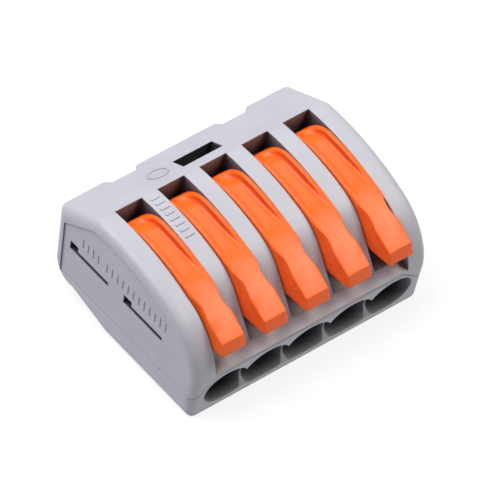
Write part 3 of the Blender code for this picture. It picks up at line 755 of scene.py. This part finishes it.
def cylinder_mesh(name, radius, x_low, x_high, y, z, sides=48):
    shape = bmesh.new()
    place = Matrix.Translation(((x_low + x_high) / 2, y, z)) @ Matrix.Rotation(math.pi / 2, 4, "Y")
    bmesh.ops.create_cone(shape, cap_ends=True, segments=sides, radius1=radius, radius2=radius,
                          depth=x_high - x_low, matrix=place)
    return mesh_from_bmesh(name, shape)


def make_levers(material):
    """One lever mesh, shared by the five levers on their own bodies."""
    blank = plate_mesh("lever", lever_outline(), -LEVER_HALF, LEVER_HALF, LEVER_EDGE, LEVER_EDGE_STEPS)
    pattern = Carving("lever_pattern", blank)
    for side in (-1, 1):
        pattern.apply(grip_side_mesh(side))
    pattern.apply(trough_mesh())
    reach = LEVER_HALF + TRUNNION_REACH
    pattern.apply(cylinder_mesh("trunnions", TRUNNION_RADIUS, -reach, reach, PIVOT_Y, PIVOT_Z), "UNION")
    item = pattern.finish()
    item.data.materials.clear()
    item.data.materials.append(material)
    smooth(item)
    mesh = item.data
    bpy.data.objects.remove(item, do_unlink=True)
    for index, x in enumerate(POLE_X):
        lever = move_to_stage(bpy.data.objects.new(f"lever_paddle_{index + 1}", mesh))
        lever.location = (x, 0.0, 0.0)
        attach(lever, f"lever_body_{index + 1}")
        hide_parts(f"lever_{index + 1}")


def place_camera():
    """A long lens above the front left corner, rolled a little, as the object is shown."""
    azimuth = math.radians(-43.92)
    elevation = math.radians(48.35)
    roll = math.radians(7.38)
    distance = 700 * MM
    width_in_view = 47.3 * MM
    aim_right = 1.27 * MM
    aim_up = 3.55 * MM
    back = Vector((math.sin(azimuth) * math.cos(elevation), -math.cos(azimuth) * math.cos(elevation),
                   math.sin(elevation)))
    level = Vector((math.cos(azimuth), math.sin(azimuth), 0.0))
    upright = back.cross(level)
    right = math.cos(roll) * level + math.sin(roll) * upright
    up = math.cos(roll) * upright - math.sin(roll) * level
    lens = bpy.data.cameras.new("camera")
    lens.sensor_width = 36.0
    lens.lens = lens.sensor_width * distance / width_in_view
    lens.clip_start = distance / 10
    lens.clip_end = distance * 10
    camera = move_to_stage(bpy.data.objects.new("camera", lens))
    place = Matrix.Translation(right * aim_right + up * aim_up + back * distance)
    turn = Matrix((right, up, back)).transposed().to_4x4()
    camera.matrix_world = place @ turn
    bpy.context.scene.camera = camera


def new_material(name):
    """A material with its node tree, its shader and the object's coordinates."""
    material = bpy.data.materials.new(name)
    material.use_nodes = True
    tree = material.node_tree
    shader = tree.nodes["Principled BSDF"]
    place = tree.nodes.new("ShaderNodeTexCoord")
    return material, tree, shader, place.outputs["Object"]


def noise(tree, place, grain, detail=3.0, stretch=None):
    """Noise whose grain is a length on the object, drawn out along an axis if stretch is given."""
    texture = tree.nodes.new("ShaderNodeTexNoise")
    texture.inputs["Scale"].default_value = 1 / grain
    texture.inputs["Detail"].default_value = detail
    if stretch:
        mapping = tree.nodes.new("ShaderNodeMapping")
        mapping.inputs["Scale"].default_value = stretch
        tree.links.new(place, mapping.inputs["Vector"])
        place = mapping.outputs["Vector"]
    tree.links.new(place, texture.inputs["Vector"])
    return texture.outputs["Fac"]


def ramp(tree, value, first, last):
    """Two colours blended by a noise value."""
    blend = tree.nodes.new("ShaderNodeValToRGB")
    blend.color_ramp.elements[0].position = BLEND_LOW
    blend.color_ramp.elements[1].position = BLEND_HIGH
    blend.color_ramp.elements[0].color = (*first, 1.0)
    blend.color_ramp.elements[1].color = (*last, 1.0)
    tree.links.new(value, blend.inputs["Fac"])
    return blend.outputs["Color"]


def spread(tree, value, low, high):
    """A value's middle range stretched between two limits."""
    stretch = tree.nodes.new("ShaderNodeMapRange")
    stretch.inputs["From Min"].default_value = NOISE_LOW
    stretch.inputs["From Max"].default_value = NOISE_HIGH
    stretch.inputs["To Min"].default_value = low
    stretch.inputs["To Max"].default_value = high
    tree.links.new(value, stretch.inputs["Value"])
    return stretch.outputs["Result"]


def painted_recess_shade(tree, colour, shade):
    """Painted shade: deep holes and slots, where little light gets in, are painted a darker colour."""
    opening = tree.nodes.new("ShaderNodeAmbientOcclusion")
    opening.samples = PAINTED_SHADE_SAMPLES
    opening.only_local = True
    opening.inputs["Distance"].default_value = PAINTED_SHADE_REACH
    depth = tree.nodes.new("ShaderNodeMapRange")
    depth.inputs["From Min"].default_value = OPEN_SHARE
    depth.inputs["From Max"].default_value = DEEP_SHARE
    tree.links.new(opening.outputs["AO"], depth.inputs["Value"])
    mix = tree.nodes.new("ShaderNodeMix")
    mix.data_type = "RGBA"
    mix.inputs["B"].default_value = (*shade, 1.0)
    tree.links.new(depth.outputs["Result"], mix.inputs["Factor"])
    tree.links.new(colour, mix.inputs["A"])
    return mix.outputs["Result"]


def lighter_edges(tree, edge_radius, colour, edge_colour):
    """Rounded edges in the shading, and a lighter colour mixed in along the edges."""
    rounded = tree.nodes.new("ShaderNodeBevel")
    rounded.inputs["Radius"].default_value = edge_radius
    rounded.samples = EDGE_SAMPLES
    surface = tree.nodes.new("ShaderNodeNewGeometry")
    match = tree.nodes.new("ShaderNodeVectorMath")
    match.operation = "DOT_PRODUCT"
    tree.links.new(rounded.outputs["Normal"], match.inputs[0])
    tree.links.new(surface.outputs["Normal"], match.inputs[1])
    edge = tree.nodes.new("ShaderNodeMapRange")
    edge.inputs["From Min"].default_value = EDGE_START
    edge.inputs["From Max"].default_value = EDGE_FULL
    edge.inputs["To Max"].default_value = EDGE_LIGHTENING
    tree.links.new(match.outputs["Value"], edge.inputs["Value"])
    mix = tree.nodes.new("ShaderNodeMix")
    mix.data_type = "RGBA"
    mix.inputs["B"].default_value = (*edge_colour, 1.0)
    tree.links.new(edge.outputs["Result"], mix.inputs["Factor"])
    tree.links.new(colour, mix.inputs["A"])
    return rounded.outputs["Normal"], mix.outputs["Result"]


def bumped(tree, shader, height, depth, strength, normal=None):
    bump = tree.nodes.new("ShaderNodeBump")
    bump.inputs["Strength"].default_value = strength
    bump.inputs["Distance"].default_value = depth
    tree.links.new(height, bump.inputs["Height"])
    if normal:
        tree.links.new(normal, bump.inputs["Normal"])
    tree.links.new(bump.outputs["Normal"], shader.inputs["Normal"])


def moulded_plastic(name, edge_radius, grain, dark, light, edge_colour, shade, roughness, gloss):
    """Moulded plastic: mottled colour with painted shade in deep recesses, a fine tool grain, and rounded edges
    that are a little lighter in colour.
    """
    material, tree, shader, place = new_material(name)
    mottle_and_painted_shade = ramp(tree, noise(tree, place, MOTTLE_SIZE), dark, light)
    # Painted shade: the colour is darkened towards the shade colour in deep holes and slots
    mottle_and_painted_shade = painted_recess_shade(tree, mottle_and_painted_shade, shade)
    # A lighter colour is mixed in along the rounded edges
    normal, colour = lighter_edges(tree, edge_radius, mottle_and_painted_shade, edge_colour)
    tree.links.new(colour, shader.inputs["Base Color"])
    patches = spread(tree, noise(tree, place, PATCH_SIZE), *roughness)
    tree.links.new(patches, shader.inputs["Roughness"])
    shader.inputs["Specular IOR Level"].default_value = gloss
    bumped(tree, shader, noise(tree, place, grain, GRAIN_DETAIL), GRAIN_DEPTH, GRAIN_STRENGTH, normal)
    return material


def grey_plastic(name, edge_radius):
    # shade is the colour of the painted shade in deep recesses
    return moulded_plastic(name, edge_radius, GREY_GRAIN, dark=(0.320, 0.322, 0.372),
                           light=(0.338, 0.340, 0.392), edge_colour=(0.40, 0.40, 0.45), shade=(0.038, 0.037, 0.045),
                           roughness=(0.43, 0.54), gloss=0.40)


def orange_plastic():
    # shade is the colour of the painted shade in deep recesses
    return moulded_plastic("orange_plastic", ORANGE_EDGE, ORANGE_GRAIN, dark=(0.70, 0.092, 0.010),
                           light=(0.76, 0.104, 0.013), edge_colour=(0.84, 0.16, 0.03), shade=(0.32, 0.015, 0.003),
                           roughness=(0.26, 0.37), gloss=0.24)


def sheet_metal(name, dark, light, roughness, stretch):
    """Rolled strip: fine lines along the rolling direction and slightly cloudy colour."""
    material, tree, shader, place = new_material(name)
    tree.links.new(ramp(tree, noise(tree, place, CLOUD_SIZE), dark, light), shader.inputs["Base Color"])
    lines = noise(tree, place, LINE_SIZE, LINE_DETAIL, stretch)
    tree.links.new(spread(tree, lines, *roughness), shader.inputs["Roughness"])
    shader.inputs["Metallic"].default_value = 1.0
    rounded = tree.nodes.new("ShaderNodeBevel")
    rounded.inputs["Radius"].default_value = METAL_EDGE
    bumped(tree, shader, lines, LINE_DEPTH, LINE_STRENGTH, rounded.outputs["Normal"])
    return material


def spring_steel():
    return sheet_metal("spring_steel", (0.52, 0.51, 0.49), (0.64, 0.63, 0.60), (0.26, 0.44), ALONG_Y)


def tinned_copper():
    return sheet_metal("tinned_copper", (0.66, 0.63, 0.58), (0.76, 0.74, 0.70), (0.22, 0.40), ALONG_X)


def floor_paint():
    """Pale matt paint on a softly lit light table."""
    material, tree, shader, place = new_material("floor_paint")
    colour = ramp(tree, noise(tree, place, FLOOR_CLOUD_SIZE), FLOOR_DARK, FLOOR_LIGHT)
    tree.links.new(colour, shader.inputs["Base Color"])
    patches = spread(tree, noise(tree, place, FLOOR_PATCH_SIZE), *FLOOR_ROUGHNESS)
    tree.links.new(patches, shader.inputs["Roughness"])
    shader.inputs["Specular IOR Level"].default_value = 0.0
    shader.inputs["Emission Color"].default_value = (*WHITE, 1.0)
    shader.inputs["Emission Strength"].default_value = FLOOR_GLOW
    bumped(tree, shader, noise(tree, place, FLOOR_GRAIN), FLOOR_GRAIN_DEPTH, FLOOR_GRAIN_STRENGTH)
    return material


def add_light(name, toward, size, power, colour):
    """A round soft light a fixed way off, shining at the middle of the object."""
    data = bpy.data.lights.new(name, "AREA")
    data.shape = "DISK"
    data.size = size
    data.energy = power
    data.color = colour
    item = move_to_stage(bpy.data.objects.new(name, data))
    direction = Vector(toward).normalized()
    item.location = Vector((0.0, 0.0, TOP_Z / 2)) + direction * LIGHT_DISTANCE
    item.rotation_mode = "QUATERNION"
    item.rotation_quaternion = direction.to_track_quat("Z", "Y")


def light_stage():
    slab = box_mesh("floor", (-FLOOR_HALF, -FLOOR_HALF, -FLOOR_THICKNESS), (FLOOR_HALF, FLOOR_HALF, 0.0))
    floor = move_to_stage(bpy.data.objects.new("floor", slab))
    floor.data.materials.append(floor_paint())
    world = bpy.data.worlds.new("studio")
    world.use_nodes = True
    background = world.node_tree.nodes["Background"]
    background.inputs["Color"].default_value = (*WHITE, 1.0)
    background.inputs["Strength"].default_value = AMBIENT
    bpy.context.scene.world = world
    bpy.context.scene.view_settings.view_transform = "Standard"
    for name, light in LIGHTS.items():
        add_light(name, **light)


def dress_shell(item, node, material):
    item.data.materials.clear()
    item.data.materials.append(material)
    smooth(item)
    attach(item, "housing")
    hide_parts(node)


def dress_node(name, material):
    node = frame["nodes"][name]
    node.data.materials.clear()
    node.data.materials.append(material)


grey = grey_plastic("grey_plastic", GREY_EDGE)
soft_grey = grey_plastic("grey_plastic_lower", SOFT_GREY_EDGE)
orange = orange_plastic()
steel = spring_steel()
copper = tinned_copper()

dress_shell(make_upper_shell(), "upper_housing", grey)
dress_shell(make_lower_shell(), "lower_housing", soft_grey)
make_levers(orange)
make_marks(grey)
dress_node("busbar", copper)
for index in range(POLES):
    dress_node(f"clamp_spring_{index + 1}", steel)
    dress_node(f"clamp_jaw_{index + 1}", steel)

light_stage()
place_camera()
